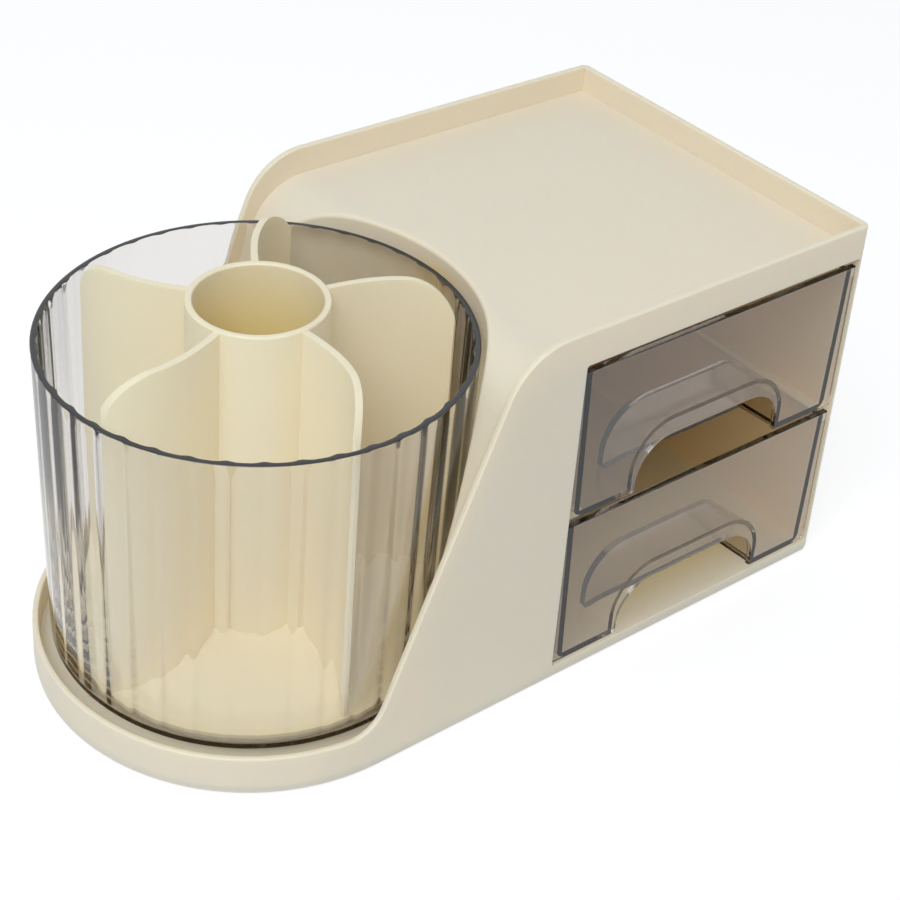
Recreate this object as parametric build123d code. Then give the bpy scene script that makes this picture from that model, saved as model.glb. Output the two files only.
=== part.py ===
from build123d import *
from math import atan, cos, degrees, hypot, radians, sin
import os

# Desk organizer: a cream cabinet with two smoky drawers and a tray on top, and beside it a
# round well with a smoky fluted cup that turns on a ball race and holds a five-way divider.
# Millimetres, +Z up. The pieces are drawn about the cup's axis, with Z = 0 on the underside
# of the bottom plate, and placed() moves them to the middle of the footprint, on the feet.

# ---- Overall cabinet ----
cabinet_length = 175.0      # from the cup's axis to the square end
cabinet_depth = 130.0       # front to back, also the diameter of the round end
cabinet_height = 122.5      # to the top of the tray's lip
wall = 2.0                  # moulded wall, lip and deck
end_wall = 2.3              # square end
corner_r = 2.5              # upright corners of the square end
edge_r = 0.6                # softened lips and rims

# ---- Sloped side of the cabinet, seen from the front ----
slope_top_inset = 22.7      # from the drawer bay to where the slope would meet the lip's top
slope_foot_x = -1.7         # where it would meet the well's rim
slope_top_r = 21.3
slope_foot_r = 12.0
rim_z = 12.5                # top of the round well's rim

# ---- Tray on top ----
tray_depth = 9.0
tray_floor_t = 2.0
tray_corner_r = 20.0
slope_sink = 4.8            # the sloped floor lies this far below its lips, square to the slope

# ---- Round well for the cup ----
well_bite = 0.2             # the well cuts this far into the side walls
well_wall = 1.8             # between the well and the drawer bay
well_edge_r = 1.2
well_floor_t = 2.0
well_skirt = 2.0            # wall of the well inside the corners

# ---- Drawer bay ----
opening_lap = 1.3           # the fronts' recess starts this far left of the bay
opening_bottom_z = 4.0
bay_slack = 0.9             # spare height in the bay, shared by both drawers
opening_corner_r = 1.0
plate_recess = 0.6          # drawer fronts lie this far behind the cabinet's face
slide_gap = 0.3             # running gap of the drawers
ledge_t = 1.7
ledge_width = 6.0           # ledges that carry the upper drawer, along both sides of the bay
rail_height = 3.0           # guide rails on the bay's end wall

# ---- Drawers ----
plate_t = 1.8
plate_gap = 0.5             # around a drawer front
plate_edge_r = 0.35
drawer_spacing = 2.5        # from one front to the next
box_drop = 1.3              # the box walls end this far below the front's top edge
box_wall = 2.0
box_floor_t = 1.6
box_taper = 1.3             # the box is this much narrower at its floor, on each side
box_corner_r = 3.0
box_back_gap = 2.0

# ---- Finger pull, a tunnel moulded into each drawer ----
pull_half_width = 31.4
pull_height = 22.5
pull_corner_r = 16.2
pull_depth = 16.0
pull_taper = 1.2            # the tunnel narrows this much on each side towards its back
pull_wall = 1.6
pull_lip = 0.8              # at the sides of the mouth
pull_mouth_height = 16.4
pull_mouth_corner_r = 13.0

# ---- Cup ----
cup_gap = 1.4               # between the cup's rim and the well's rim, seen from above
cup_rim_drop = 13.6         # the rim is this far below the tray's lip
cup_draft = 0.02            # radius gained for each mm of height
cup_wall_thin = 1.6         # in the middle of a flute
cup_wall_ridge = 2.3        # at the ridge between two flutes
cup_floor_t = 1.6
cup_foot_r = 1.0
flute_count = 40
flute_phase = 4.8           # degrees from +X to the first ridge

# ---- Divider ----
divider_gap = 0.1           # the divider stands this far off the cup's floor
divider_floor_t = 1.3
divider_side_gap = 1.0      # from the floor's edge to the flutes' ridges
tube_r = 20.1
tube_wall = 2.0
tube_rise = 10.75           # above the cup's rim
vane_count = 5
vane_t = 2.0
vane_drop = 0.6             # below the tube's top
vane_tip_inset = 0.3        # from the floor's edge
vane_corner_r = 13.5
vane_start = 59.7           # degrees from +X to the first vane, at the tube
vane_lean = 0.102           # degrees for each mm out from the tube
vane_curl = -0.012          # degrees for each square mm out from the tube
vane_steps = 6              # points along a vane's curve
vane_root = 1.0             # how deep a vane runs into the tube's wall

# ---- Turntable, ball race and pivot ----
turntable_inset = 4.8       # from the cup's foot
turntable_t = 2.2
race_t = 1.2
race_inset = 11.0           # from the turntable's edge
race_width = 16.0
ball_track_inset = 7.0      # from the races' outer edge to the middle of the balls
ball_r = 2.0
ball_bite = 0.45            # how deep a ball sits in each race
ball_count = 16
ball_gap = 0.05
cage_t = 0.9
cage_half_width = 3.2
race_screw_inset = 3.0      # from the races' inner edge
race_screw_count = 3
pivot_r = 3.0
pivot_gap = 0.06            # running fit in the hub
pivot_head_r = 4.6
pivot_head_t = 1.2
washer_t = 0.6
washer_gap = 0.05
hub_r = 8.0
hub_step = 1.0              # the hub hangs this far below the turntable
hub_pocket_gap = 0.6        # around the head and the washer
boss_r = 6.0
boss_gap = 0.3              # between the boss and the hub

# ---- Screws ----
screw_shank_r = 1.4
screw_head_r = 2.6
screw_head_t = 1.1
screw_bite = 1.7            # depth in the piece that holds it
race_screw_shank_r = 1.2
race_screw_head_r = 1.9
race_screw_head_t = 0.9
cup_screw_inset = 7.0       # from the turntable's edge
cup_screw_count = 3
screw_boss_r = 3.6
screw_boss_height = 12.0
screw_boss_root = 0.6       # how deep a boss runs into the cabinet's wall
screw_end_gap = 26.0        # from the square end to the pair of screws near it

# ---- Bottom plate and feet ----
bottom_t = 1.3
bottom_inset = 0.25         # reveals a thin parting line
foot_r = 6.0
foot_t = 1.6
foot_sink = 0.8
foot_inset = 11.0           # from the cabinet's sides

# ---- Derived places ----
half_depth = cabinet_depth / 2
inner_half = half_depth - wall
front_y = -half_depth
tray_floor_z = cabinet_height - tray_depth
bay_top_z = tray_floor_z - tray_floor_t
well_floor_z = bottom_t + well_floor_t
well_r = inner_half + well_bite
bay_left_x = well_r + well_wall
opening_left_x = bay_left_x - opening_lap
slope_top_x = bay_left_x - slope_top_inset
slope_run = (slope_top_x - slope_foot_x) / (cabinet_height - rim_z)
slope_angle = degrees(atan(slope_run))
slant_shift = slope_sink / cos(radians(slope_angle))
deck_shift = slant_shift + wall / cos(radians(slope_angle))
opening_right_x = cabinet_length - end_wall
plate_back_y = front_y + plate_recess + plate_t
bay_front_y = plate_back_y + slide_gap
drawer_mid_x = (opening_left_x + opening_right_x) / 2
box_half_top = drawer_mid_x - bay_left_x - slide_gap
drawer_pitch = (bay_top_z - opening_bottom_z - bay_slack) / 2
drawer_height = drawer_pitch - drawer_spacing
lower_drawer_z = opening_bottom_z + plate_gap
upper_drawer_z = lower_drawer_z + drawer_pitch
ledge_top_z = upper_drawer_z - slide_gap
lower_race_z = well_floor_z
ball_z = lower_race_z + race_t + ball_r - ball_bite
upper_race_z = ball_z + ball_r - ball_bite
turntable_z = upper_race_z + race_t
cup_bottom_z = turntable_z + turntable_t
cup_rim_z = cabinet_height - cup_rim_drop
cup_rim_r = well_r - cup_gap
cup_foot_radius = cup_rim_r - cup_draft * (cup_rim_z - cup_bottom_z)
cup_floor_z = cup_bottom_z + cup_floor_t
cup_floor_r = cup_foot_radius + cup_draft * cup_floor_t
divider_bottom_z = cup_floor_z + divider_gap
divider_floor_r = cup_floor_r - cup_wall_ridge - divider_side_gap
tube_top_z = cup_rim_z + tube_rise
vane_top_z = tube_top_z - vane_drop
vane_tip_r = divider_floor_r - vane_tip_inset
turntable_r = cup_foot_radius - turntable_inset
race_outer_r = turntable_r - race_inset
race_inner_r = race_outer_r - race_width
ball_circle_r = race_outer_r - ball_track_inset
race_screw_circle_r = race_inner_r + race_screw_inset
cup_screw_circle_r = turntable_r - cup_screw_inset
hub_bottom_z = turntable_z - hub_step
boss_top_z = hub_bottom_z - boss_gap
pocket_z = turntable_z
washer_z = pocket_z + washer_gap
head_z = washer_z + washer_t
foot_stand = foot_t - foot_sink
shift_x = (cabinet_length - half_depth) / 2
foot_ring_r = half_depth - foot_inset
far = 2 * cabinet_length
tiny = 0.01

foot_places = (
    (-foot_ring_r * cos(radians(45)), -foot_ring_r * sin(radians(45))),
    (-foot_ring_r * cos(radians(45)), foot_ring_r * sin(radians(45))),
    (opening_left_x + foot_inset, front_y + foot_inset),
    (opening_left_x + foot_inset, half_depth - foot_inset),
    (cabinet_length - foot_inset, front_y + foot_inset),
    (cabinet_length - foot_inset, half_depth - foot_inset),
)
screw_inset = wall + screw_boss_r - screw_boss_root
corner_boss_x = opening_left_x - wall - 2 * screw_boss_r
screw_places = (
    (-foot_ring_r, 0),
    (corner_boss_x, front_y + screw_inset),
    (corner_boss_x, half_depth - screw_inset),
    (cabinet_length - screw_end_gap, front_y + screw_inset),
    (cabinet_length - screw_end_gap, half_depth - screw_inset),
    (cabinet_length - screw_inset, 0),
)


def placed(shape):
    """Move a shape from the cup's axis to the frame of the whole object."""
    return Pos(-shift_x, 0, foot_stand) * shape


def save(name, *shapes):
    """Write one node: a single solid, or a group of like solids."""
    solids = [solid for shape in shapes for solid in placed(shape).solids()]
    whole = solids[0] if len(solids) == 1 else Compound(solids)
    export_step(whole, os.path.join("parts", name + ".step"))


def block(x0, x1, y0, y1, z0, z1):
    """A box between two corners."""
    centre = Pos((x0 + x1) / 2, (y0 + y1) / 2, (z0 + z1) / 2)
    return centre * Box(x1 - x0, y1 - y0, z1 - z0)


def rod(x, y, z, radius, tall):
    """An upright cylinder that stands on z."""
    return Pos(x, y, z + tall / 2) * Cylinder(radius, tall)


def ring(outer_r, inner_r, z, tall):
    """A flat ring about the cup's axis."""
    return rod(0, 0, z, outer_r, tall) - rod(0, 0, z, inner_r, tall)


def turned(radius, count, phase=0.0):
    """Places on a circle about the cup's axis."""
    angles = [radians(phase + 360 / count * step) for step in range(count)]
    return [(radius * cos(angle), radius * sin(angle)) for angle in angles]


def slope_x(z, shift=0.0):
    """Where the sloped side is at a height, moved into the cabinet by a shift."""
    return slope_top_x + shift - slope_run * (cabinet_height - z)


def footprint(inset=0.0):
    """Plan outline: a half circle about the cup's axis, then the cabinet's straight sides."""
    round_end = Circle(half_depth - inset)
    body_length = cabinet_length - inset
    cabinet = Pos(body_length / 2, 0) * Rectangle(body_length, cabinet_depth - 2 * inset)
    outline = round_end + cabinet
    corners = [v for v in outline.vertices() if v.X > body_length - edge_r]
    return fillet(corners, corner_r)


def side_view(points, rounded):
    """A shape seen from the front, drawn in X and Z, with some of its corners rounded."""
    view = Polygon(*points, align=None)
    for (x, z), radius in rounded:
        corner = [v for v in view.vertices() if hypot(v.X - x, v.Y - z) < tiny]
        view = fillet(corner, radius)
    return view


def cabinet_view():
    """The cabinet's outline from the front."""
    foot_corner = (slope_x(rim_z), rim_z)
    top_corner = (slope_top_x, cabinet_height)
    points = [(-far, 0), (-far, rim_z), foot_corner, top_corner, (far, cabinet_height), (far, 0)]
    return side_view(points, [(foot_corner, slope_foot_r), (top_corner, slope_top_r)])


def tray_view():
    """The space above the tray and the sloped floor."""
    corner = (slope_x(tray_floor_z, slant_shift), tray_floor_z)
    low_z = cabinet_height - (slope_top_x + slant_shift) / slope_run
    inner_x = cabinet_length - wall
    above = cabinet_height + tray_depth
    points = [(0, low_z), corner, (inner_x, tray_floor_z), (inner_x, above), (0, above)]
    return side_view(points, [(corner, tray_corner_r)])


def hollow_view():
    """The space under the sloped floor, up to the drawer bay."""
    corner = (slope_x(bay_top_z, deck_shift), bay_top_z)
    hollow_x = bay_left_x - wall
    points = [(slope_x(0, deck_shift), 0), corner, (hollow_x, bay_top_z), (hollow_x, 0)]
    return side_view(points, [(corner, tray_corner_r - wall)])


def through(view, half_width):
    """Extrude a front view to both sides of the middle."""
    return extrude(Plane.XZ * view, amount=half_width, both=True)


def runs_along(edge, axis):
    """True for a straight edge along the axis with this letter."""
    return edge.geom_type == GeomType.LINE and abs(getattr(edge.tangent_at(0.5), axis)) > 1 - tiny


def is_on_view(edge, view):
    """True for an edge that lies on the outline of a front view."""
    middle = edge @ 0.5
    return view.wire().distance_to(Vertex(middle.X, middle.Z, 0)) < tiny


def is_on_well(edge):
    """True for an edge that goes round the well's wall."""
    points = [edge @ (step / 4) for step in range(5)]
    round_wall = all(abs(hypot(point.X, point.Y) - well_r) < tiny for point in points)
    return round_wall and not runs_along(edge, "Z")


def is_inside_lip(edge):
    """True for an edge at the inner face of the cabinet's side and end walls."""
    at_side = abs(abs(edge.center().Y) - inner_half) < tiny and not runs_along(edge, "Z")
    at_end = abs(edge.center().X - (cabinet_length - wall)) < tiny and runs_along(edge, "Y")
    return at_side or at_end


def soften_edges(shell):
    """Round the rim, the lips and the edge where the well cuts the tray and the slope."""
    recess = [e for e in shell.edges() if is_on_well(e) and is_on_view(e, tray_view())]
    shell = fillet(recess, well_edge_r)
    lips = [e for e in shell.edges() if is_on_well(e) or is_inside_lip(e)]
    return fillet([e for e in lips if is_on_view(e, cabinet_view())], edge_r)


def cabinet_block():
    """The cabinet's outer form with softened lips, before anything is hollowed out."""
    tall = extrude(Pos(0, 0, bottom_t) * footprint(), amount=cabinet_height)
    cabinet = tall & through(cabinet_view(), cabinet_depth)
    outside = [e for e in cabinet.edges() if is_on_view(e, cabinet_view())]
    return fillet([e for e in outside if not runs_along(e, "Y") and not runs_along(e, "Z")], edge_r)


def corner_hollows():
    """The hollows under the sloped floor, between the well, the walls and the drawer bay."""
    return through(hollow_view(), inner_half) - rod(0, 0, 0, well_r + well_skirt, cabinet_height)


def drawer_bay():
    """The space for both drawers, with the shallow recess for their fronts."""
    bay = block(bay_left_x, opening_right_x, bay_front_y, inner_half, opening_bottom_z, bay_top_z)
    width = opening_right_x - opening_left_x
    height = bay_top_z - opening_bottom_z
    mouth = Pos(drawer_mid_x, opening_bottom_z + height / 2) * RectangleRounded(
        width, height, opening_corner_r
    )
    recess = extrude(Plane.XZ.offset(-bay_front_y) * mouth, amount=half_depth)
    return bay + recess


def guide_rails():
    """Rails on the bay's end wall that keep each drawer against its side of the bay."""
    rail_x = drawer_mid_x + box_half_top + slide_gap
    rails = []
    for drawer_z in (lower_drawer_z, upper_drawer_z):
        top_z = drawer_z + drawer_height - box_drop
        rails.append(block(rail_x, opening_right_x, bay_front_y, inner_half, top_z - rail_height, top_z))
    return rails


def drawer_ledges():
    """Ledges on both sides of the bay that carry the upper drawer."""
    sides = ((bay_left_x, bay_left_x + ledge_width), (opening_right_x - ledge_width, opening_right_x))
    low_z = ledge_top_z - ledge_t
    return [block(x0, x1, bay_front_y, inner_half, low_z, ledge_top_z) for x0, x1 in sides]


def screw_bosses():
    """Bosses in the corner hollows for the bottom plate's screws."""
    return [rod(x, y, bottom_t, screw_boss_r, screw_boss_height) for x, y in screw_places[1:3]]


def make_body_shell():
    """The cream moulding: tray, sloped sides, round well and drawer bay in one piece."""
    shell = cabinet_block() - corner_hollows() - through(tray_view(), inner_half)
    shell = shell - rod(0, 0, well_floor_z, well_r, cabinet_height)
    shell = soften_edges(shell) - drawer_bay()
    for piece in guide_rails() + drawer_ledges() + screw_bosses():
        shell = shell + piece
    shell = shell + rod(0, 0, well_floor_z, boss_r, boss_top_z - well_floor_z)
    shell = shell - rod(0, 0, bottom_t, pivot_r, boss_top_z)
    for x, y in screw_places:
        shell = shell - rod(x, y, 0, screw_shank_r, bottom_t + screw_bite)
    for x, y in turned(race_screw_circle_r, race_screw_count):
        bite = min(screw_bite, well_floor_t)
        shell = shell - rod(x, y, well_floor_z - bite, race_screw_shank_r, bite)
    return shell


def make_bottom_plate():
    """The flat cover under the cabinet, with seats for the feet and the screws."""
    plate = extrude(footprint(bottom_inset), amount=bottom_t)
    for x, y in foot_places:
        plate = plate - rod(x, y, 0, foot_r, foot_sink)
    for x, y in screw_places:
        plate = plate - bottom_screw(x, y)
    return plate


def bottom_screw(x, y):
    """A flat-head screw from below, its head flush with the bottom plate."""
    head = Pos(x, y, screw_head_t / 2) * Cone(screw_head_r, screw_shank_r, screw_head_t)
    return head + rod(x, y, screw_head_t, screw_shank_r, bottom_t + screw_bite - screw_head_t)


def arch(half_width, height, radius):
    """A flat-topped arch on the drawer's bottom line, drawn in X and Z."""
    shape = Pos(0, height / 2) * Rectangle(2 * half_width, height)
    top = [v for v in shape.vertices() if v.Y > height / 2]
    return fillet(top, radius)


def tunnel(inset, y0, y1):
    """The finger pull's tunnel, narrowing towards its back, inside its outer surface by an inset."""
    ends = []
    for y in (y0, y1):
        less = inset + pull_taper * (y - plate_back_y) / (pull_depth - plate_t)
        outline = arch(pull_half_width - less, pull_height - less, pull_corner_r - less)
        ends.append(Plane.XZ.offset(-y) * outline)
    return loft(ends)


def tapered_box(inset, z0, z1, y0, y1):
    """A box that narrows towards its floor, with an inset from the drawer's outside."""
    full = drawer_height - box_drop
    plans = []
    for z in (z0, z1):
        taper = box_taper * (1 - z / full)
        half = box_half_top - taper - inset
        back = y1 - taper - inset
        plans.append(Pos(0, (y0 + back) / 2, z) * Rectangle(2 * half, back - y0))
    return loft(plans)


def make_drawer():
    """One smoky drawer, about its own middle and with its underside at Z = 0."""
    face_y = front_y + plate_recess
    half_plate = drawer_mid_x - opening_left_x - plate_gap
    back_y = inner_half - box_back_gap
    box_top = drawer_height - box_drop
    plate = block(-half_plate, half_plate, face_y, plate_back_y, 0, drawer_height)
    plate = fillet(plate.edges().group_by(Axis.Y)[0], plate_edge_r)
    outside = tapered_box(0, 0, box_top, plate_back_y, back_y)
    long_edges = outside.edges().filter_by(Axis.Z, reverse=True).group_by(Axis.Z)[0]
    floor_edges = [e for e in long_edges if abs(e.center().X) > box_half_top / 2]
    outside = fillet(floor_edges, box_corner_r)
    inside = tapered_box(box_wall, box_floor_t, box_top, plate_back_y, back_y)
    drawer = plate + (outside - inside)
    tunnel_back = face_y + pull_depth
    drawer = drawer + tunnel(0, plate_back_y, tunnel_back)
    drawer = drawer - tunnel(pull_wall, plate_back_y, tunnel_back - pull_wall)
    mouth_half = pull_half_width - pull_wall - pull_lip
    mouth = Plane.XZ.offset(-plate_back_y) * arch(mouth_half, pull_mouth_height, pull_mouth_corner_r)
    return drawer - extrude(mouth, amount=2 * plate_t)


def flute_outline(ridge_r, valley_r):
    """A ring of shallow hollow flutes that meet in ridges."""
    ridges = turned(ridge_r, flute_count, flute_phase)
    valleys = turned(valley_r, flute_count, flute_phase + 180 / flute_count)
    arcs = []
    for step in range(flute_count):
        arcs.append(ThreePointArc(ridges[step], valleys[step], ridges[(step + 1) % flute_count]))
    return make_face(arcs)


def make_cup():
    """The smoky cup: smooth and slightly conical outside, fluted inside."""
    outer = Pos(0, 0, cup_bottom_z) * Circle(cup_foot_radius)
    top = Pos(0, 0, cup_rim_z) * Circle(cup_rim_r)
    cup = loft([outer, top])
    cup = fillet(cup.edges().group_by(Axis.Z)[0], cup_foot_r)
    low = flute_outline(cup_floor_r - cup_wall_ridge, cup_floor_r - cup_wall_thin)
    high = flute_outline(cup_rim_r - cup_wall_ridge, cup_rim_r - cup_wall_thin)
    cup = cup - loft([Pos(0, 0, cup_floor_z) * low, Pos(0, 0, cup_rim_z) * high], ruled=True)
    for x, y in turned(cup_screw_circle_r, cup_screw_count):
        cup = cup - cup_screw(x, y)
    return cup


def vane_side(side):
    """One side of a vane's curve, as points from the tube's wall to the tip."""
    points = []
    root = tube_r - vane_root
    for step in range(vane_steps + 1):
        radius = root + (vane_tip_r - root) * step / vane_steps
        out = radius - tube_r
        angle = radians(vane_start + vane_lean * out + vane_curl * out * out)
        heading = angle + radians(vane_lean + 2 * vane_curl * out) * radius
        across = side * vane_t / 2
        x = radius * cos(angle) - across * sin(heading)
        y = radius * sin(angle) + across * cos(heading)
        points.append((x, y))
    return points


def make_divider():
    """The cream divider: floor, middle tube and five curved vanes in one moulding."""
    left = vane_side(1)
    right = vane_side(-1)
    outline = [Spline(*left), Line(left[-1], right[-1]), Spline(*reversed(right)), Line(right[0], left[0])]
    tall = vane_top_z - divider_bottom_z
    vane = extrude(Pos(0, 0, divider_bottom_z) * make_face(outline), amount=tall)
    profile = Pos(vane_tip_r / 2, divider_bottom_z + tall / 2) * Rectangle(vane_tip_r, tall)
    corner = profile.vertices().sort_by(lambda v: v.X + v.Y)[-1]
    vane = vane & revolve(Plane.XZ * fillet(corner, vane_corner_r), Axis.Z)
    tube = ring(tube_r, tube_r - tube_wall, divider_bottom_z, tube_top_z - divider_bottom_z)
    tube = fillet(tube.edges().group_by(Axis.Z)[-1], edge_r)
    divider = tube + rod(0, 0, divider_bottom_z, divider_floor_r, divider_floor_t)
    for step in range(vane_count):
        divider = divider + Rot(0, 0, -360 / vane_count * step) * vane
    return divider


def cup_screw(x, y):
    """A flat-head screw that fixes the cup's floor to the turntable."""
    head_low = cup_floor_z - screw_head_t
    head = Pos(x, y, head_low + screw_head_t / 2) * Cone(screw_shank_r, screw_head_r, screw_head_t)
    return head + rod(x, y, cup_bottom_z - screw_bite, screw_shank_r, head_low - cup_bottom_z + screw_bite)


def race_screw(x, y, z, up):
    """A small pan-head screw through a race; up is 1 on the lower race and -1 on the upper."""
    head = Pos(x, y, z + up * race_screw_head_t / 2) * Cylinder(race_screw_head_r, race_screw_head_t)
    length = race_t + screw_bite
    return head + Pos(x, y, z - up * length / 2) * Cylinder(race_screw_shank_r, length)


def groove():
    """The round path that the balls run in."""
    return Pos(0, 0, ball_z) * Torus(ball_circle_r, ball_r + ball_gap)


def make_race(z, face_z, up):
    """One steel race ring with its groove and screw holes."""
    race = ring(race_outer_r, race_inner_r, z, race_t) - groove()
    for x, y in turned(race_screw_circle_r, race_screw_count):
        race = race - race_screw(x, y, face_z, up)
    return race


def make_turntable():
    """The disc under the cup, with the hub that turns on the pivot."""
    disc = rod(0, 0, turntable_z, turntable_r, turntable_t)
    disc = disc + rod(0, 0, hub_bottom_z, hub_r, hub_step)
    disc = disc - rod(0, 0, pocket_z, pivot_head_r + hub_pocket_gap, cabinet_height)
    disc = disc - rod(0, 0, hub_bottom_z, pivot_r + pivot_gap, cabinet_height)
    for x, y in turned(race_screw_circle_r, race_screw_count):
        disc = disc - race_screw(x, y, upper_race_z, -1)
    for x, y in turned(cup_screw_circle_r, cup_screw_count):
        disc = disc - cup_screw(x, y)
    return disc


def make_cage():
    """The ring that spaces the balls."""
    outer_r = ball_circle_r + cage_half_width
    inner_r = ball_circle_r - cage_half_width
    cage = ring(outer_r, inner_r, ball_z - cage_t / 2, cage_t)
    for x, y in turned(ball_circle_r, ball_count):
        cage = cage - Pos(x, y, ball_z) * Sphere(ball_r + ball_gap)
    return cage


def make_foot(x, y):
    """One rubber foot, sunk partly into the bottom plate."""
    foot = rod(x, y, -foot_stand, foot_r, foot_t)
    return fillet(foot.edges().group_by(Axis.Z)[0], foot_stand / 2)


os.makedirs("parts", exist_ok=True)
save("body_shell", make_body_shell())
save("bottom_plate", make_bottom_plate())
save("bottom_screws", *[bottom_screw(x, y) for x, y in screw_places])
save("drawer_lower", Pos(drawer_mid_x, 0, lower_drawer_z) * make_drawer())
save("drawer_upper", Pos(drawer_mid_x, 0, upper_drawer_z) * make_drawer())
save("cup", make_cup())
save("cup_screws", *[cup_screw(x, y) for x, y in turned(cup_screw_circle_r, cup_screw_count)])
save("divider_insert", make_divider())
save("turntable", make_turntable())
save("race_lower", make_race(lower_race_z, lower_race_z + race_t, 1))
save("race_upper", make_race(upper_race_z, upper_race_z, -1))
screw_circle = turned(race_screw_circle_r, race_screw_count)
save("race_screws_lower", *[race_screw(x, y, lower_race_z + race_t, 1) for x, y in screw_circle])
save("race_screws_upper", *[race_screw(x, y, upper_race_z, -1) for x, y in screw_circle])
save("ball_cage", make_cage())
save("balls", *[Pos(x, y, ball_z) * Sphere(ball_r) for x, y in turned(ball_circle_r, ball_count)])
pivot = rod(0, 0, bottom_t, pivot_r, head_z - bottom_t) + rod(0, 0, head_z, pivot_head_r, pivot_head_t)
save("pivot_screw", pivot)
washer_hole_r = pivot_r + pivot_gap
save("pivot_washer", ring(pivot_head_r, washer_hole_r, washer_z, washer_t))
for number, (foot_x, foot_y) in enumerate(foot_places, 1):
    save("foot_" + str(number), make_foot(foot_x, foot_y))
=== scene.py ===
from math import atan2, cos, hypot, pi, radians, sin

import bmesh
import bpy
from bpy.props import FloatProperty, FloatVectorProperty, IntProperty, PointerProperty
from bpy.types import Operator, Panel, PropertyGroup
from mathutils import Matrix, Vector


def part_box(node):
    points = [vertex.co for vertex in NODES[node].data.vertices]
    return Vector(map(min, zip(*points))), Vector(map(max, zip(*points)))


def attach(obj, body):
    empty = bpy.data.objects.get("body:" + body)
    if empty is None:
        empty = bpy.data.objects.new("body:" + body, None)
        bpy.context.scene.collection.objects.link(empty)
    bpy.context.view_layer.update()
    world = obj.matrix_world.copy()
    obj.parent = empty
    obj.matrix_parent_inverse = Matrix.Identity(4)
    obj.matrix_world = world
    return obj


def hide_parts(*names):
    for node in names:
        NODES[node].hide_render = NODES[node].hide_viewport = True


bl_info = {
    "name": "Rotating Desk Organizer",
    "version": (1, 0, 0),
    "blender": (4, 5, 0),
    "location": "View3D > Sidebar > Organizer",
    "description": "Finishes a cream desk organizer with smoky drawers and a turning fluted cup",
    "category": "Object",
}

TOLERANCE = 1e-6
STEPS_PER_FLUTE = 12
LIP_STEPS, BEAD_STEPS = 5, 3
MIX_A, MIX_B, MIX_RESULT = 6, 7, 2
WHITE_PLASTIC = (0.80, 0.80, 0.78)
RACE_ZINC = (0.62, 0.62, 0.61)
SCREW_ZINC = (0.56, 0.56, 0.57)
POLISHED_STEEL = (0.75, 0.75, 0.77)
SOFT_RUBBER = (0.66, 0.63, 0.57)

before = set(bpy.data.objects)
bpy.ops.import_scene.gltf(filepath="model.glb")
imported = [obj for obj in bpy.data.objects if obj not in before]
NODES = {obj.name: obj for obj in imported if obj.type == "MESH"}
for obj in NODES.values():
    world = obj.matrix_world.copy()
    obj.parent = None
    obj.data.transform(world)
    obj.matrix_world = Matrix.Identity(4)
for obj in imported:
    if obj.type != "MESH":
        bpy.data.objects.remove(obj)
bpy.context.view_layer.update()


# ---------------------------------------------------------------- settings


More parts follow.
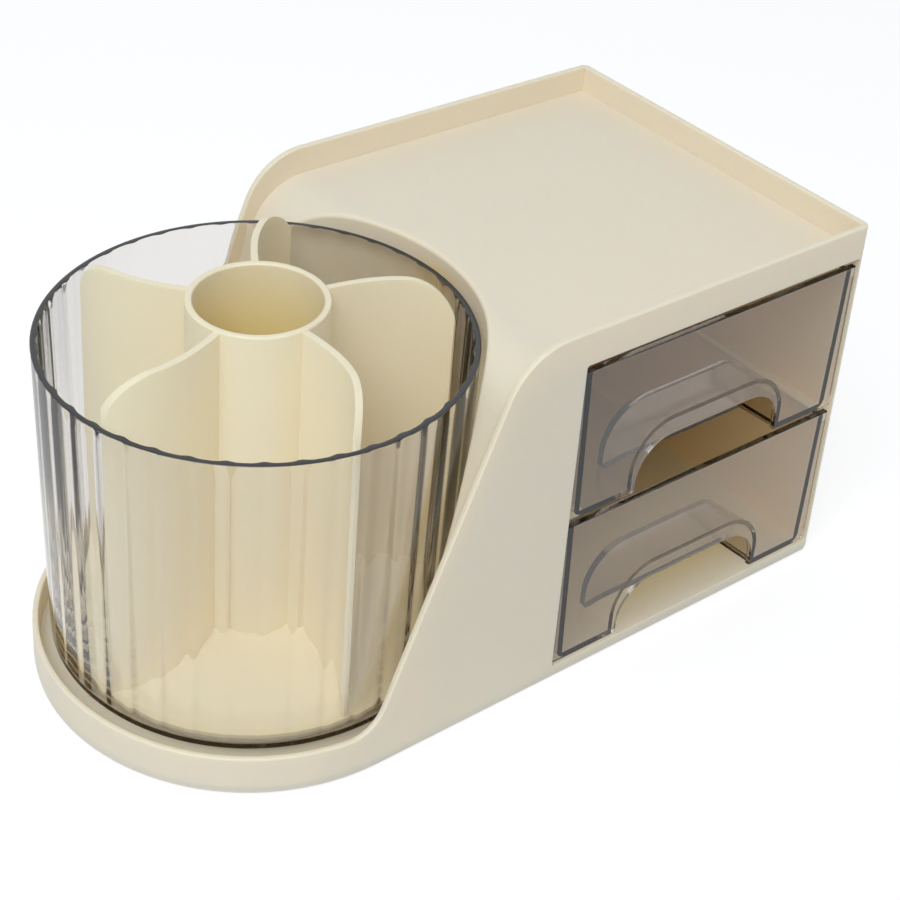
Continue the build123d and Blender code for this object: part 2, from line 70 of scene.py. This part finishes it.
class PlasticSettings(PropertyGroup):
    """Colours and gloss of the moulded plastics, with the painted shade deep in the middle tube, round
    the drawers and on the cup's rim.
    """

    cream: FloatVectorProperty(
        name="Cream", description="Colour of the cabinet", subtype="COLOR",
        size=3, min=0.0, max=1.0, default=(0.85, 0.755, 0.60))
    cream_shade: FloatVectorProperty(
        name="Cream shade", description="Colour where the cream is a touch deeper", subtype="COLOR",
        size=3, min=0.0, max=1.0, default=(0.835, 0.738, 0.583))
    ivory: FloatVectorProperty(
        name="Ivory", description="Colour of the divider, a little warmer than the cabinet",
        subtype="COLOR", size=3, min=0.0, max=1.0, default=(0.90, 0.805, 0.59))
    ivory_shade: FloatVectorProperty(
        name="Ivory shade", description="Colour where the ivory is a touch deeper", subtype="COLOR",
        size=3, min=0.0, max=1.0, default=(0.885, 0.787, 0.565))
    # Painted shade: the deep ivory stands in for the warm, dim light deep inside the middle tube.
    ivory_painted_shade: FloatVectorProperty(
        name="Deep ivory", description="Colour deep inside the middle tube", subtype="COLOR",
        size=3, min=0.0, max=1.0, default=(0.87, 0.71, 0.22))
    # Painted shade: the deep cream stands in for the shade and warm bounced light inside the cabinet
    # round the drawers.
    cream_painted_shade: FloatVectorProperty(
        name="Deep cream", description="Colour round the drawers, inside the cabinet", subtype="COLOR",
        size=3, min=0.0, max=1.0, default=(0.90, 0.73, 0.45))
    # The next three sizes place the painted shade in the middle tube.
    tube_bore: FloatProperty(
        name="Tube bore", description="Inner radius of the middle tube", unit="LENGTH",
        min=0.001, default=0.0182)
    bore_fade: FloatProperty(
        name="Bore fade", description="How far outside the bore the deep ivory ends",
        unit="LENGTH", min=0.0001, default=0.0004)
    bore_shade_depth: FloatProperty(
        name="Warm depth", description="How far down the bore the ivory is deepest", unit="LENGTH",
        min=0.001, default=0.04)
    # The next two sizes place the painted shade round the drawers.
    bay_margin: FloatProperty(
        name="Bay margin", description="How far the deep cream reaches round the drawers",
        unit="LENGTH", min=0.0002, default=0.001)
    bay_fade: FloatProperty(
        name="Bay fade", description="How far behind the drawers' fronts the cream is deepest",
        unit="LENGTH", min=0.001, default=0.012)
    cream_glow: FloatProperty(
        name="Cream glow", description="Share of the light that soaks into the cabinet",
        min=0.0, max=1.0, default=0.6)
    ivory_glow: FloatProperty(
        name="Ivory glow", description="Share of the light that soaks into the divider",
        min=0.0, max=1.0, default=0.3)
    glow_depth: FloatProperty(
        name="Glow depth", description="How far light soaks into the cream and the ivory",
        unit="LENGTH", min=0.0, default=0.004)
    cream_roughness: FloatProperty(
        name="Cream roughness", description="Roughness of the satin cream plastic",
        min=0.0, max=1.0, default=0.38)
    smoke: FloatVectorProperty(
        name="Smoke", description="What the smoky plastic lets through", subtype="COLOR",
        size=3, min=0.0, max=1.0, default=(0.26, 0.22, 0.17))
    smoke_density: FloatProperty(
        name="Smoke density", description="How fast the smoky plastic darkens, per metre",
        min=0.0, default=48.0)
    smoke_tint: FloatVectorProperty(
        name="Smoke tint", description="What both faces of a smoky wall let through", subtype="COLOR",
        size=3, min=0.0, max=1.0, default=(0.93, 0.905, 0.87))
    wall_tint: FloatVectorProperty(
        name="Cup wall tint", description="What the cup's wall lets through", subtype="COLOR",
        size=3, min=0.0, max=1.0, default=(0.87, 0.855, 0.84))
    # Painted shade: an opaque near-black colour on the rim's top stands in for the clear smoky rim seen
    # edge on, which looks dark because its light is lost inside the wall.
    painted_rim_shade: FloatVectorProperty(
        name="Rim", description="Colour of the cup's cut rim, which is seen edge on", subtype="COLOR",
        size=3, min=0.0, max=1.0, default=(0.022, 0.022, 0.025))
    rim_roughness: FloatProperty(
        name="Rim roughness", description="Roughness of the cup's cut rim",
        min=0.0, max=1.0, default=0.22)
    smoke_roughness: FloatProperty(
        name="Smoke roughness", description="Roughness of the polished smoky plastic",
        min=0.0, max=1.0, default=0.02)


class CupSettings(PropertyGroup):
    """Sizes of the fluted cup that the CAD solid doesn't give by itself."""

    wall_thin: FloatProperty(
        name="Thin wall", description="Wall in the middle of a flute", unit="LENGTH",
        min=0.0005, default=0.00165)
    wall_ridge: FloatProperty(
        name="Ridge wall", description="Wall at the ridge between two flutes", unit="LENGTH",
        min=0.0005, default=0.00185)
    floor: FloatProperty(
        name="Floor", description="Thickness of the cup's floor", unit="LENGTH",
        min=0.0005, default=0.0016)
    draft: FloatProperty(
        name="Draft", description="Radius gained for each unit of height", min=0.0, default=0.02)
    flutes: IntProperty(
        name="Flutes", description="Number of flutes round the inner wall", min=8, default=40)
    rim_wave: FloatProperty(
        name="Rim wave", description="How much deeper the waves are at the rim", unit="LENGTH",
        min=0.0, default=0.0004)
    rim_wave_depth: FloatProperty(
        name="Rim wave depth", description="How far below the rim the waves grow shallower",
        unit="LENGTH", min=0.001, default=0.005)
    narrow: FloatProperty(
        name="Ridge power", description="Higher makes the ridges narrower", min=1.0, default=3.0)
    phase: FloatProperty(
        name="Phase", description="Angle from +X to the first ridge", subtype="ANGLE",
        default=radians(4.8))
    lip: FloatProperty(
        name="Lip radius", description="Rounding of the rim's outer edge", unit="LENGTH",
        min=0.0, default=0.0005)
    foot: FloatProperty(
        name="Foot radius", description="Rounding of the foot", unit="LENGTH",
        min=0.0, default=0.001)


class StageSettings(PropertyGroup):
    """Camera, lamp and floor."""

    eye: FloatVectorProperty(
        name="Eye", description="Where the camera stands", subtype="TRANSLATION", unit="LENGTH",
        size=3, default=(-0.30289, -0.37683, 0.40272))
    turn: FloatVectorProperty(
        name="Turn", description="How the camera is turned", subtype="EULER", unit="ROTATION",
        size=3, default=(radians(60.1545), radians(-3.2576), radians(-36.8717)))
    lens: FloatProperty(
        name="Lens", description="Focal length in millimetres, for a 36 mm film", min=1.0, default=77.75)
    shift: FloatVectorProperty(
        name="Shift", description="Shift of the lens, as a share of the frame",
        size=2, default=(0.03437, -0.24659))
    ambient: FloatProperty(
        name="Ambient", description="Brightness of the white surroundings", min=0.0, default=0.46)
    daylight: FloatVectorProperty(
        name="Daylight", description="Colour of the light, a touch cool", subtype="COLOR",
        size=3, min=0.0, max=2.0, default=(0.965, 1.0, 1.05))
    key_power: FloatProperty(
        name="Key light", description="Power of the large lamp at the left", unit="POWER",
        min=0.0, default=9.4)
    key_size: FloatProperty(
        name="Key size", description="Side of the square lamp", unit="LENGTH", min=0.05, default=0.8)
    key_place: FloatVectorProperty(
        name="Key place", description="Where the lamp hangs", subtype="TRANSLATION", unit="LENGTH",
        size=3, default=(-0.61, -0.47, 1.11))
    key_aim: FloatVectorProperty(
        name="Key aim", description="What the lamp points at", subtype="TRANSLATION", unit="LENGTH",
        size=3, default=(0.0, 0.0, 0.06))
    floor_size: FloatProperty(
        name="Floor size", description="Side of the square floor", unit="LENGTH", min=0.5, default=6.0)
    floor_bounce: FloatProperty(
        name="Floor bounce", description="Grey of the floor as it lights the object",
        min=0.0, max=1.0, default=0.82)
    floor_grey: FloatProperty(
        name="Floor grey", description="Grey of the floor as it is seen, which keeps the shadow",
        min=0.0, max=1.0, default=0.35)
    floor_glow: FloatProperty(
        name="Floor glow", description="White that is added to the floor as it is seen",
        min=0.0, default=0.74)


# ---------------------------------------------------------------- materials


def new_material(name):
    """An empty node material with an output."""
    material = bpy.data.materials.new(name)
    material.use_nodes = True
    tree = material.node_tree
    tree.nodes.clear()
    output = tree.nodes.new("ShaderNodeOutputMaterial")
    return material, tree, output


def node(tree, kind, **settings):
    """A shader node with its sockets and properties set by name."""
    made = tree.nodes.new(kind)
    for key, value in settings.items():
        if key in made.inputs:
            made.inputs[key].default_value = value
        else:
            setattr(made, key, value)
    return made


def rgba(colour):
    """A colour with full opacity."""
    return (*colour, 1.0)


def satin_plastic(name, colour, shade, glow, settings):
    """Satin plastic with a very slight unevenness; glow is the share of the light that soaks into it."""
    material, tree, output = new_material(name)
    place = node(tree, "ShaderNodeTexCoord")
    cloud = node(tree, "ShaderNodeTexNoise", Scale=18.0, Detail=3.0, Roughness=0.5)
    tree.links.new(place.outputs["Object"], cloud.inputs["Vector"])
    tint = node(tree, "ShaderNodeMix", data_type="RGBA")
    tint.inputs[MIX_A].default_value = rgba(colour)
    tint.inputs[MIX_B].default_value = rgba(shade)
    tree.links.new(cloud.outputs["Fac"], tint.inputs[0])
    grain = node(tree, "ShaderNodeTexNoise", Scale=2600.0, Detail=2.0)
    tree.links.new(place.outputs["Object"], grain.inputs["Vector"])
    bump = node(tree, "ShaderNodeBump", Strength=0.03, Distance=0.00004)
    tree.links.new(grain.outputs["Fac"], bump.inputs["Height"])
    gloss = node(tree, "ShaderNodeMapRange")
    gloss.inputs["To Min"].default_value = settings.cream_roughness - 0.04
    gloss.inputs["To Max"].default_value = settings.cream_roughness + 0.04
    tree.links.new(cloud.outputs["Fac"], gloss.inputs["Value"])
    shader = node(tree, "ShaderNodeBsdfPrincipled", IOR=1.5)
    shader.inputs["Specular IOR Level"].default_value = 0.4
    shader.inputs["Subsurface Weight"].default_value = glow
    shader.inputs["Subsurface Radius"].default_value = (1.0, 0.70, 0.35)
    shader.inputs["Subsurface Scale"].default_value = settings.glow_depth
    tree.links.new(tint.outputs[MIX_RESULT], shader.inputs["Base Color"])
    tree.links.new(gloss.outputs["Result"], shader.inputs["Roughness"])
    tree.links.new(bump.outputs["Normal"], shader.inputs["Normal"])
    tree.links.new(shader.outputs[0], output.inputs["Surface"])
    return material


def smoky_plastic(name, tint, roughness):
    """Clear smoky plastic that lets the lamp's light through; tint is for both faces of a wall."""
    material, tree, output = new_material(name)
    place = node(tree, "ShaderNodeTexCoord")
    haze = node(tree, "ShaderNodeTexNoise", Scale=60.0, Detail=2.0)
    tree.links.new(place.outputs["Object"], haze.inputs["Vector"])
    gloss = node(tree, "ShaderNodeMapRange")
    gloss.inputs["To Min"].default_value = roughness * 0.5
    gloss.inputs["To Max"].default_value = roughness * 1.5
    tree.links.new(haze.outputs["Fac"], gloss.inputs["Value"])
    glass = node(tree, "ShaderNodeBsdfPrincipled", IOR=1.5)
    glass.inputs["Transmission Weight"].default_value = 1.0
    glass.inputs["Base Color"].default_value = rgba(tint)
    tree.links.new(gloss.outputs["Result"], glass.inputs["Roughness"])
    passing = node(tree, "ShaderNodeBsdfTransparent", Color=(0.975, 0.97, 0.96, 1.0))
    path = node(tree, "ShaderNodeLightPath")
    light = node(tree, "ShaderNodeMath", operation="MAXIMUM")
    mix = node(tree, "ShaderNodeMixShader")
    tree.links.new(path.outputs["Is Shadow Ray"], light.inputs[0])
    tree.links.new(path.outputs["Is Diffuse Ray"], light.inputs[1])
    tree.links.new(light.outputs[0], mix.inputs[0])
    tree.links.new(glass.outputs[0], mix.inputs[1])
    tree.links.new(passing.outputs[0], mix.inputs[2])
    tree.links.new(mix.outputs[0], output.inputs["Surface"])
    return material


def add_smoke(material, settings):
    """Darken a smoky plastic with its thickness, so that its edges are darker than its faces."""
    tree = material.node_tree
    smoke = node(tree, "ShaderNodeVolumeAbsorption", Density=settings.smoke_density)
    smoke.inputs["Color"].default_value = rgba(settings.smoke)
    output = next(made for made in tree.nodes if made.type == "OUTPUT_MATERIAL")
    tree.links.new(smoke.outputs[0], output.inputs["Volume"])


def plain_plastic(name, colour, roughness):
    """Opaque plastic or rubber with a fine moulded grain."""
    material, tree, output = new_material(name)
    place = node(tree, "ShaderNodeTexCoord")
    grain = node(tree, "ShaderNodeTexNoise", Scale=900.0, Detail=3.0)
    tree.links.new(place.outputs["Object"], grain.inputs["Vector"])
    bump = node(tree, "ShaderNodeBump", Strength=0.2, Distance=0.00005)
    tree.links.new(grain.outputs["Fac"], bump.inputs["Height"])
    shader = node(tree, "ShaderNodeBsdfPrincipled", Roughness=roughness)
    shader.inputs["Base Color"].default_value = rgba(colour)
    tree.links.new(bump.outputs["Normal"], shader.inputs["Normal"])
    tree.links.new(shader.outputs[0], output.inputs["Surface"])
    return material


def turned_steel(name, colour, roughness):
    """Steel with a fine noise in its roughness."""
    material, tree, output = new_material(name)
    place = node(tree, "ShaderNodeTexCoord")
    marks = node(tree, "ShaderNodeTexNoise", Scale=700.0, Detail=2.0)
    tree.links.new(place.outputs["Object"], marks.inputs["Vector"])
    sheen = node(tree, "ShaderNodeMapRange")
    sheen.inputs["To Min"].default_value = roughness - 0.05
    sheen.inputs["To Max"].default_value = roughness + 0.05
    tree.links.new(marks.outputs["Fac"], sheen.inputs["Value"])
    shader = node(tree, "ShaderNodeBsdfPrincipled", Metallic=1.0)
    shader.inputs["Base Color"].default_value = rgba(colour)
    tree.links.new(sheen.outputs["Result"], shader.inputs["Roughness"])
    tree.links.new(shader.outputs[0], output.inputs["Surface"])
    return material


def dress(material, *names):
    """Give CAD nodes a finish."""
    for name in names:
        mesh = NODES[name].data
        for index in range(len(mesh.materials)):
            mesh.materials[index] = material


# ---------------------------------------------------------------- operators


class ORGANIZER_OT_shell(Operator):
    """Finish the cabinet shell and its bottom plate"""

    bl_idname = "organizer.shell"
    bl_label = "Cabinet Shell"

    def execute(self, context):
        plastic = context.scene.organizer_plastic
        cream = satin_plastic(
            "cream_plastic_satin", plastic.cream, plastic.cream_shade, plastic.cream_glow, plastic)
        # Painted shade on the cabinet's walls round the drawers.
        paint_bay_shade(cream, plastic)
        dress(cream, "body_shell", "bottom_plate")
        return {"FINISHED"}


class ORGANIZER_OT_divider(Operator):
    """Finish the divider with its middle tube and five curved vanes"""

    bl_idname = "organizer.divider"
    bl_label = "Divider"

    def execute(self, context):
        plastic = context.scene.organizer_plastic
        ivory = satin_plastic(
            "ivory_plastic_satin", plastic.ivory, plastic.ivory_shade, plastic.ivory_glow, plastic)
        # Painted shade deep in the middle tube's bore.
        paint_tube_shade(ivory, plastic)
        dress(ivory, "divider_insert")
        return {"FINISHED"}


def paint_tube_shade(material, plastic):
    """Painted shade: deepen the ivory towards the foot of the middle tube's bore, standing in for the
    warm, dim light deep in the bore.
    """
    low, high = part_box("divider_insert")
    tree = material.node_tree
    place = node(tree, "ShaderNodeTexCoord")
    split = node(tree, "ShaderNodeSeparateXYZ")
    tree.links.new(place.outputs["Object"], split.inputs[0])
    centre = node(tree, "ShaderNodeCombineXYZ", X=(low.x + high.x) / 2, Y=(low.y + high.y) / 2)
    flat = node(tree, "ShaderNodeCombineXYZ")
    tree.links.new(split.outputs["X"], flat.inputs["X"])
    tree.links.new(split.outputs["Y"], flat.inputs["Y"])
    reach = node(tree, "ShaderNodeVectorMath", operation="DISTANCE")
    tree.links.new(flat.outputs[0], reach.inputs[0])
    tree.links.new(centre.outputs[0], reach.inputs[1])
    edge = plastic.tube_bore + plastic.bore_fade
    inside = ramp(tree, reach.outputs["Value"], edge, plastic.tube_bore)
    depth = ramp(tree, split.outputs["Z"], high.z, high.z - plastic.bore_shade_depth)
    # Mix in the painted shade where the bore and depth masks meet.
    mix_painted_shade(tree, product(tree, inside, depth), plastic.ivory_painted_shade)


def paint_bay_shade(material, plastic):
    """Painted shade: deepen the cream on the walls round the drawers, standing in for the shade and warm
    bounced light inside the cabinet.
    """
    lower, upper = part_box("drawer_lower"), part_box("drawer_upper")
    tree = material.node_tree
    place = node(tree, "ShaderNodeTexCoord")
    split = node(tree, "ShaderNodeSeparateXYZ")
    tree.links.new(place.outputs["Object"], split.inputs[0])
    room = plastic.bay_margin
    front = ramp(tree, split.outputs["Y"], lower[0].y, lower[0].y + plastic.bay_fade)
    back = ramp(tree, split.outputs["Y"], lower[1].y + 2 * room, lower[1].y + room)
    left = ramp(tree, split.outputs["X"], lower[0].x - 2 * room, lower[0].x - room)
    right = ramp(tree, split.outputs["X"], lower[1].x + 2 * room, lower[1].x + room)
    top = ramp(tree, split.outputs["Z"], upper[1].z + 2 * room, upper[1].z + room)
    amount = front
    for side in (back, left, right, top):
        amount = product(tree, amount, side)
    # Mix in the painted shade inside the box round the drawers.
    mix_painted_shade(tree, amount, plastic.cream_painted_shade)


def ramp(tree, value, start, end):
    """A value that goes from 0 at start to 1 at end."""
    made = node(tree, "ShaderNodeMapRange")
    made.inputs["From Min"].default_value = start
    made.inputs["From Max"].default_value = end
    tree.links.new(value, made.inputs["Value"])
    return made.outputs["Result"]


def product(tree, first, second):
    """One value times another."""
    made = node(tree, "ShaderNodeMath", operation="MULTIPLY")
    tree.links.new(first, made.inputs[0])
    tree.links.new(second, made.inputs[1])
    return made.outputs[0]


def mix_painted_shade(tree, amount, colour):
    """Mix a painted shade colour over the base colour of the tree's plastic."""
    shader = next(made for made in tree.nodes if made.type == "BSDF_PRINCIPLED")
    tint = shader.inputs["Base Color"].links[0].from_socket
    mix = node(tree, "ShaderNodeMix", data_type="RGBA")
    mix.inputs[MIX_B].default_value = rgba(colour)
    tree.links.new(amount, mix.inputs[0])
    tree.links.new(tint, mix.inputs[MIX_A])
    tree.links.new(mix.outputs[MIX_RESULT], shader.inputs["Base Color"])


class ORGANIZER_OT_drawers(Operator):
    """Finish both drawers in smoky plastic"""

    bl_idname = "organizer.drawers"
    bl_label = "Drawers"

    def execute(self, context):
        plastic = context.scene.organizer_plastic
        smoke = smoky_plastic("smoky_plastic_drawer", plastic.smoke_tint, plastic.smoke_roughness)
        add_smoke(smoke, plastic)
        dress(smoke, "drawer_lower", "drawer_upper")
        return {"FINISHED"}


class ORGANIZER_OT_cup(Operator):
    """Turn the smoky cup with its fluted inner wall and rounded rim"""

    bl_idname = "organizer.cup"
    bl_label = "Cup"

    def execute(self, context):
        cup = turn_cup(context.scene.organizer_cup)
        plastic = context.scene.organizer_plastic
        cup.data.materials.append(
            smoky_plastic("smoky_plastic_cup", plastic.wall_tint, plastic.smoke_roughness))
        # The rim's top gets an opaque painted shade in place of clear plastic.
        cup.data.materials.append(
            plain_plastic("smoky_rim_painted_shade", plastic.painted_rim_shade, plastic.rim_roughness))
        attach(cup, "rotor")
        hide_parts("cup")
        return {"FINISHED"}


def turn_cup(settings):
    """Spin the wall's outline, then press the flutes into the inner wall."""
    low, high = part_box("cup")
    axis = Vector(((low.x + high.x) / 2, (low.y + high.y) / 2, 0.0))
    rim_r = (high.x - low.x) / 2
    foot_r = rim_r - settings.draft * (high.z - low.z)
    floor_z = low.z + settings.floor
    floor_r = foot_r + settings.draft * settings.floor - settings.wall_thin
    outline = [(0.0, low.z)]
    outline += arc((foot_r - settings.foot, low.z + settings.foot), settings.foot, -90, 0, LIP_STEPS)
    outline += arc((rim_r - settings.lip, high.z - settings.lip), settings.lip, 0, 90, LIP_STEPS)
    inner_rim = rim_r - settings.wall_thin
    bead = settings.lip / 2
    outline += arc((inner_rim + bead, high.z - bead), bead, 90, 180, BEAD_STEPS)
    outline += [
        (inner_rim - settings.draft * depth, high.z - depth)
        for depth in (settings.rim_wave_depth * share for share in (0.25, 0.5, 0.75, 1.0))]
    outline += arc((floor_r - bead, floor_z + bead), bead, 0, -90, BEAD_STEPS)
    outline.append((0.0, floor_z))
    shape = bmesh.new()
    points = [shape.verts.new((r, 0.0, z)) for r, z in outline]
    edges = [shape.edges.new(pair) for pair in zip(points, points[1:])]
    bmesh.ops.spin(
        shape, geom=points + edges, cent=(0, 0, 0), axis=(0, 0, 1), angle=2 * pi,
        steps=settings.flutes * STEPS_PER_FLUTE, use_merge=True)
    bmesh.ops.remove_doubles(shape, verts=shape.verts, dist=TOLERANCE)
    press = settings.wall_ridge - settings.wall_thin
    for vert in shape.verts:
        radius = hypot(vert.co.x, vert.co.y)
        outside = foot_r + settings.draft * (vert.co.z - low.z)
        past_bore = radius > outside - settings.wall_thin + bead + TOLERANCE
        if past_bore or vert.co.z < floor_z - TOLERANCE or radius < floor_r - 2 * bead:
            continue
        turn = settings.flutes * (atan2(vert.co.y, vert.co.x) - settings.phase)
        near_rim = max(0.0, 1 - (high.z - vert.co.z) / settings.rim_wave_depth)
        inward = (press + settings.rim_wave * near_rim) * ((1 + cos(turn)) / 2) ** settings.narrow
        vert.co.xy *= (radius - inward) / radius
    bmesh.ops.recalc_face_normals(shape, faces=shape.faces)
    # Faces on the rim's top take the painted shade material.
    for face in shape.faces:
        at_rim = face.calc_center_median().z > high.z - settings.lip
        face.material_index = int(at_rim and face.normal.z > 0.5)
    bmesh.ops.translate(shape, verts=shape.verts, vec=axis)
    return finished("fluted_cup", shape)


def arc(centre, radius, start, end, steps):
    """Points of an arc in the outline, with angles in degrees."""
    angles = [radians(start + (end - start) * step / steps) for step in range(steps + 1)]
    return [(centre[0] + radius * cos(angle), centre[1] + radius * sin(angle)) for angle in angles]


def finished(name, shape, sharp=40.0):
    """Make an object of a bmesh, smooth apart from its sharp edges."""
    mesh = bpy.data.meshes.new(name)
    shape.to_mesh(mesh)
    shape.free()
    mesh.shade_smooth()
    mesh.set_sharp_from_angle(angle=radians(sharp))
    piece = bpy.data.objects.new(name, mesh)
    bpy.context.scene.collection.objects.link(piece)
    return piece


class ORGANIZER_OT_turntable(Operator):
    """Finish the turntable, the ball race, the screws and the feet"""

    bl_idname = "organizer.turntable"
    bl_label = "Turntable and Feet"

    def execute(self, context):
        dress(plain_plastic("white_plastic_plain", WHITE_PLASTIC, 0.45), "turntable", "ball_cage")
        dress(turned_steel("race_steel_zinc", RACE_ZINC, 0.35),
              "race_lower", "race_upper", "pivot_washer")
        dress(turned_steel("screw_steel_zinc", SCREW_ZINC, 0.30),
              "bottom_screws", "cup_screws", "race_screws_lower", "race_screws_upper", "pivot_screw")
        dress(turned_steel("ball_steel_polished", POLISHED_STEEL, 0.10), "balls")
        feet = [name for name in NODES if name.startswith("foot_")]
        dress(plain_plastic("foot_rubber_soft", SOFT_RUBBER, 0.75), *feet)
        return {"FINISHED"}


class ORGANIZER_OT_stage(Operator):
    """Set up the floor, the white surroundings, the lamp and the camera"""

    bl_idname = "organizer.stage"
    bl_label = "Stage"

    def execute(self, context):
        settings = context.scene.organizer_stage
        context.scene.view_settings.view_transform = "Standard"
        let_light_through(context.scene)
        make_world(context.scene, settings.ambient, settings.daylight)
        make_floor(context, settings)
        hang_lamp(context, settings)
        camera_data = bpy.data.cameras.new("camera")
        camera_data.lens = settings.lens
        camera_data.shift_x, camera_data.shift_y = settings.shift
        camera = bpy.data.objects.new("camera", camera_data)
        context.scene.collection.objects.link(camera)
        camera.location = settings.eye
        camera.rotation_euler = settings.turn
        context.scene.camera = camera
        return {"FINISHED"}


def let_light_through(scene):
    """Clear walls one behind another need more bounces than opaque ones."""
    scene.cycles.max_bounces = 24
    scene.cycles.diffuse_bounces = 6
    scene.cycles.glossy_bounces = 16
    scene.cycles.transmission_bounces = 24
    scene.cycles.transparent_max_bounces = 24


def make_world(scene, ambient, daylight):
    """A white room: pure white where it is seen, softer where it only lights the object."""
    world = bpy.data.worlds.new("white_room")
    scene.world = world
    world.use_nodes = True
    tree = world.node_tree
    tree.nodes.clear()
    output = node(tree, "ShaderNodeOutputWorld")
    seen = node(tree, "ShaderNodeBackground", Color=(1.0, 1.0, 1.0, 1.0), Strength=1.0)
    light = node(tree, "ShaderNodeBackground", Color=rgba(daylight), Strength=ambient)
    mix = node(tree, "ShaderNodeMixShader")
    tree.links.new(seen_by_eye(tree), mix.inputs[0])
    tree.links.new(light.outputs[0], mix.inputs[1])
    tree.links.new(seen.outputs[0], mix.inputs[2])
    tree.links.new(mix.outputs[0], output.inputs["Surface"])


def seen_by_eye(tree):
    """1 for rays from the camera, also where gloss or clear plastic passes them on."""
    path = node(tree, "ShaderNodeLightPath")
    gloss = node(tree, "ShaderNodeMath", operation="MAXIMUM")
    whole = node(tree, "ShaderNodeMath", operation="MAXIMUM")
    tree.links.new(path.outputs["Is Camera Ray"], gloss.inputs[0])
    tree.links.new(path.outputs["Is Glossy Ray"], gloss.inputs[1])
    tree.links.new(gloss.outputs[0], whole.inputs[0])
    tree.links.new(path.outputs["Is Transmission Ray"], whole.inputs[1])
    return whole.outputs[0]


def make_floor(context, settings):
    """A white floor that keeps a faint shadow of the object."""
    mesh = bpy.data.meshes.new("floor")
    shape = bmesh.new()
    bmesh.ops.create_grid(shape, x_segments=1, y_segments=1, size=settings.floor_size / 2)
    shape.to_mesh(mesh)
    shape.free()
    floor = bpy.data.objects.new("floor", mesh)
    context.scene.collection.objects.link(floor)
    material, tree, output = new_material("white_floor")
    paint = node(tree, "ShaderNodeBsdfDiffuse", Color=rgba([settings.floor_bounce] * 3))
    faint = node(tree, "ShaderNodeBsdfDiffuse", Color=rgba([settings.floor_grey] * 3))
    white = node(tree, "ShaderNodeEmission", Strength=settings.floor_glow)
    both = node(tree, "ShaderNodeAddShader")
    mix = node(tree, "ShaderNodeMixShader")
    tree.links.new(faint.outputs[0], both.inputs[0])
    tree.links.new(white.outputs[0], both.inputs[1])
    tree.links.new(seen_by_eye(tree), mix.inputs[0])
    tree.links.new(paint.outputs[0], mix.inputs[1])
    tree.links.new(both.outputs[0], mix.inputs[2])
    tree.links.new(mix.outputs[0], output.inputs["Surface"])
    mesh.materials.append(material)


def hang_lamp(context, settings):
    """A large square soft lamp at the left that points at the object."""
    lamp_data = bpy.data.lights.new("key", "AREA")
    lamp_data.energy = settings.key_power
    lamp_data.color = settings.daylight
    lamp_data.size = settings.key_size
    lamp = bpy.data.objects.new("key", lamp_data)
    context.scene.collection.objects.link(lamp)
    lamp.location = settings.key_place
    way = Vector(settings.key_aim) - lamp.location
    lamp.rotation_euler = way.to_track_quat("-Z", "Y").to_euler()


class ORGANIZER_PT_panel(Panel):
    """Buttons for each piece of the organizer"""

    bl_label = "Desk Organizer"
    bl_idname = "ORGANIZER_PT_panel"
    bl_space_type = "VIEW_3D"
    bl_region_type = "UI"
    bl_category = "Organizer"

    def draw(self, context):
        for operator in OPERATORS:
            self.layout.operator(operator.bl_idname)


OPERATORS = (
    ORGANIZER_OT_shell, ORGANIZER_OT_divider, ORGANIZER_OT_drawers, ORGANIZER_OT_cup,
    ORGANIZER_OT_turntable, ORGANIZER_OT_stage)
CLASSES = (PlasticSettings, CupSettings, StageSettings, *OPERATORS, ORGANIZER_PT_panel)


def register():
    for cls in CLASSES:
        bpy.utils.register_class(cls)
    bpy.types.Scene.organizer_plastic = PointerProperty(type=PlasticSettings)
    bpy.types.Scene.organizer_cup = PointerProperty(type=CupSettings)
    bpy.types.Scene.organizer_stage = PointerProperty(type=StageSettings)


def unregister():
    del bpy.types.Scene.organizer_stage
    del bpy.types.Scene.organizer_cup
    del bpy.types.Scene.organizer_plastic
    for cls in reversed(CLASSES):
        bpy.utils.unregister_class(cls)


def main():
    """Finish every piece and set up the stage."""
    register()
    bpy.ops.organizer.shell()
    bpy.ops.organizer.divider()
    bpy.ops.organizer.drawers()
    bpy.ops.organizer.cup()
    bpy.ops.organizer.turntable()
    bpy.ops.organizer.stage()


if __name__ == "__main__":
    main()
